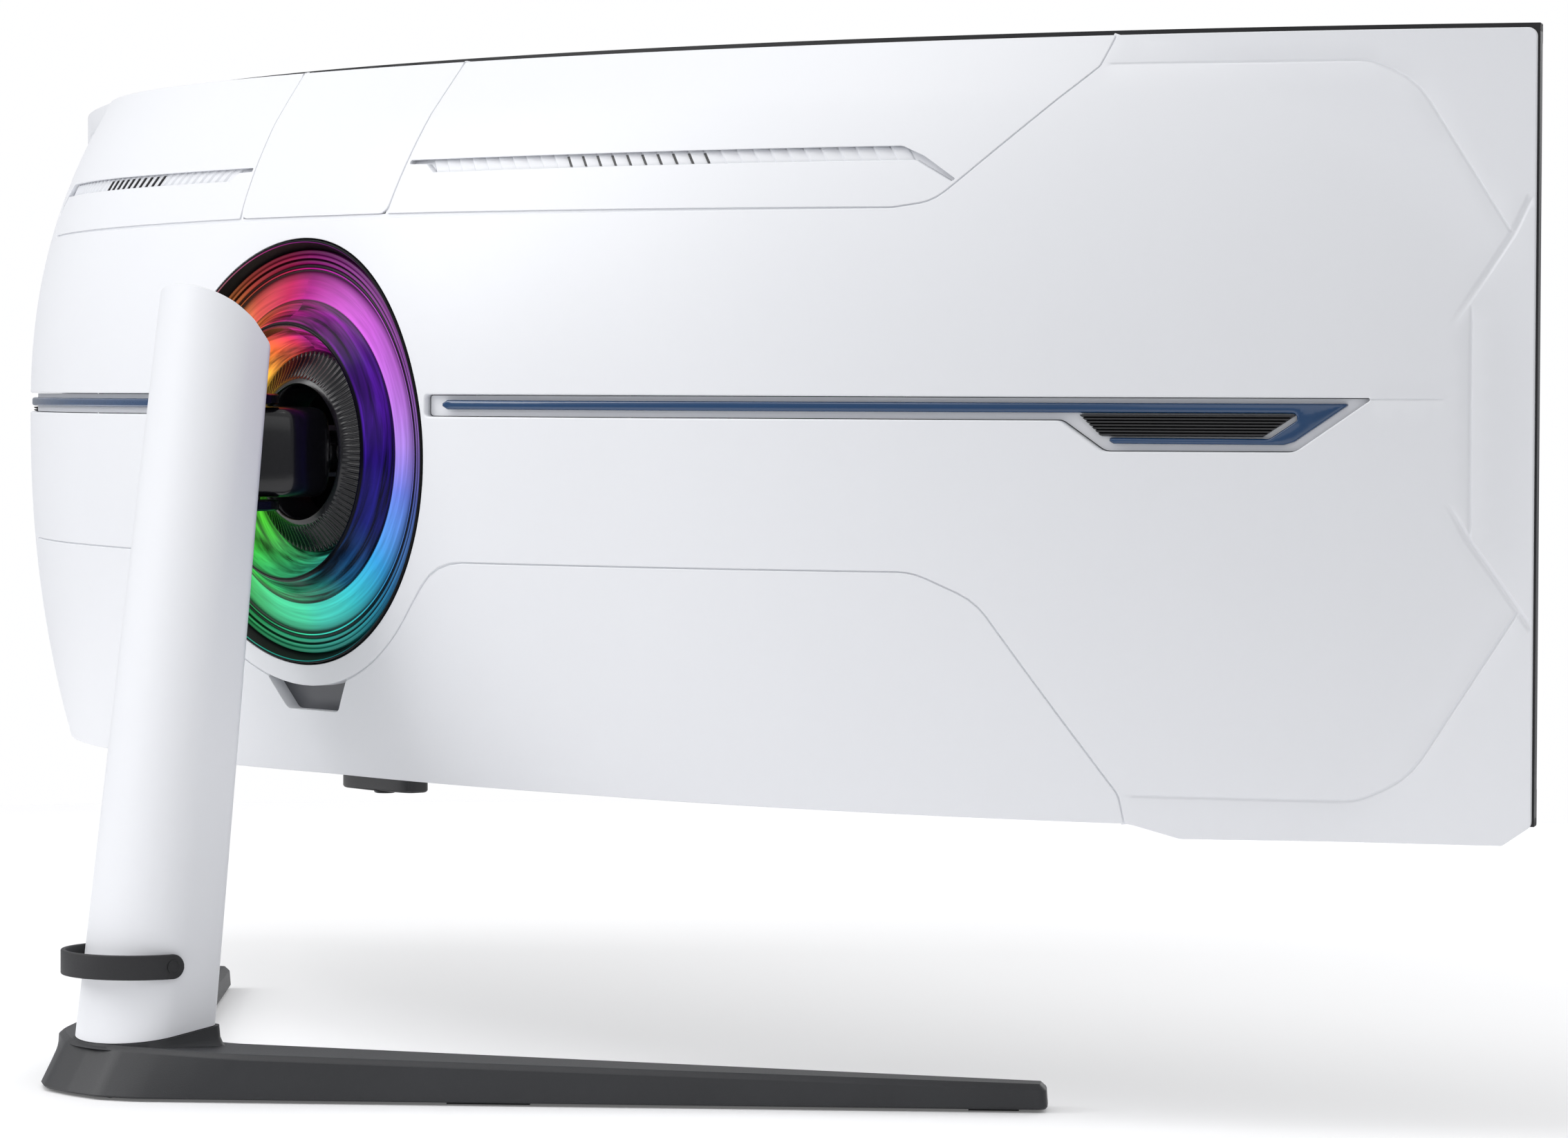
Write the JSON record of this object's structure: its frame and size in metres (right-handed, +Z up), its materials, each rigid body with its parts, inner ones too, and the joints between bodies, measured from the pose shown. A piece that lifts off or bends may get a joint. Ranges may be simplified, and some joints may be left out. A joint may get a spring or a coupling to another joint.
{
  "type": "curved desktop monitor with stand",
  "caption": "Wide, deeply curved desktop monitor with a white moulded rear, a lit rainbow ring at its hub, and a leaning height, swivel and tilt stand on a V-shaped foot.",
  "frame": {"origin": "on the desk, at the middle of the whole object in plan; x = 0 is the monitor's symmetry plane", "axes": "+X along the screen's width, towards the left end as seen from behind; +Y from the viewer towards the rear; +Z up"},
  "size_m": [1.157, 0.418, 0.5092],
  "materials": {
    "white_plastic": "satin moulded white plastic",
    "black_plastic": "fine-grained black plastic",
    "blue_trim": "translucent dark blue plastic",
    "ring_lens": "ribbed iridescent plastic with a rainbow sheen",
    "screen_glass": "matte anti-glare front of the display",
    "diffuser": "white diffuser sheets",
    "steel": "zinc-plated sheet steel",
    "cast_alloy": "black-painted die-cast alloy",
    "foot_paint": "black powder coat over cast metal",
    "rubber": "matte black rubber",
    "circuit": "solder-masked circuit board",
    "aluminium": "plain extruded aluminium",
    "nylon": "natural nylon"
  },
  "bodies": {
    "head": {"front_bezel": "black_plastic", "lcd_panel": "screen_glass", "led_backlight": "diffuser", "backlight_tray": "steel", "rear_cover": "white_plastic", "port_cover": "white_plastic", "top_cover_right": "white_plastic", "top_cover_left": "white_plastic", "top_cover_middle": "white_plastic", "accent_strip_right": "blue_trim", "accent_strip_left": "blue_trim", "side_grille_right": "black_plastic", "side_grille_left": "black_plastic", "ring_rim": "black_plastic", "light_lens": "ring_lens", "ring_led_board": "circuit", "ring_housing": "black_plastic", "hub_collar": "black_plastic", "mount_frame": "steel", "mount_plate": "steel", "tilt_bracket": "steel", "mount_screw_1": "steel", "mount_screw_2": "steel", "mount_screw_3": "steel", "mount_screw_4": "steel", "main_board": "circuit", "power_board": "circuit", "led_driver_board": "circuit", "heat_sink": "aluminium", "port_block": "black_plastic", "power_inlet": "black_plastic", "control_pod": "black_plastic", "tilt_shaft": "steel", "tilt_nut": "steel"},
    "jog_slider": {"jog_stem": "nylon"},
    "jog_rocker": {"jog_rocker": "nylon"},
    "jog_cap": {"jog_cap": "black_plastic"},
    "neck": {"neck_casting": "cast_alloy", "friction_washer_right": "steel", "friction_washer_left": "steel"},
    "carriage": {"swivel_bracket": "cast_alloy", "swivel_post": "steel", "carriage_plate": "steel", "glide_right": "nylon", "glide_left": "nylon"},
    "stand": {"column_cover": "white_plastic", "column_channel": "steel", "column_base": "cast_alloy", "lift_spring_right": "steel", "lift_spring_left": "steel", "spring_spindle": "steel", "cable_strap": "rubber", "foot_casting": "foot_paint", "foot_screw_1": "steel", "foot_screw_2": "steel", "pad_tip_right": "rubber", "pad_tip_left": "rubber", "pad_mid_right": "rubber", "pad_mid_left": "rubber", "pad_heel": "rubber"}
  },
  "joints": [
    {"name": "height_adjust", "type": "slide", "parent": "stand", "child": "carriage", "axis": [0, -0.0987, 0.9951], "range_m": [-0.1, 0.02]},
    {"name": "swivel", "type": "hinge", "parent": "carriage", "child": "neck", "pos_m": [0, 0.10053, 0.3109], "axis": [0, 0, 1], "range_deg": [-15, 15]},
    {"name": "tilt", "type": "hinge", "parent": "neck", "child": "head", "pos_m": [0, 0.05253, 0.3109], "axis": [-1, 0, 0], "range_deg": [-3, 13]},
    {"name": "jog_press", "type": "slide", "parent": "head", "child": "jog_slider", "axis": [0, 0, 1], "range_m": [0, 0.0007], "stiffness_N_per_m": 800},
    {"name": "jog_side", "type": "hinge", "parent": "jog_slider", "child": "jog_rocker", "pos_m": [0, 0.01653, 0.146], "axis": [0, 1, 0], "range_deg": [-4, 4], "stiffness_Nm_per_rad": 0.05},
    {"name": "jog_depth", "type": "hinge", "parent": "jog_rocker", "child": "jog_cap", "pos_m": [0, 0.01653, 0.146], "axis": [1, 0, 0], "range_deg": [-4, 4], "stiffness_Nm_per_rad": 0.05}
  ]
}
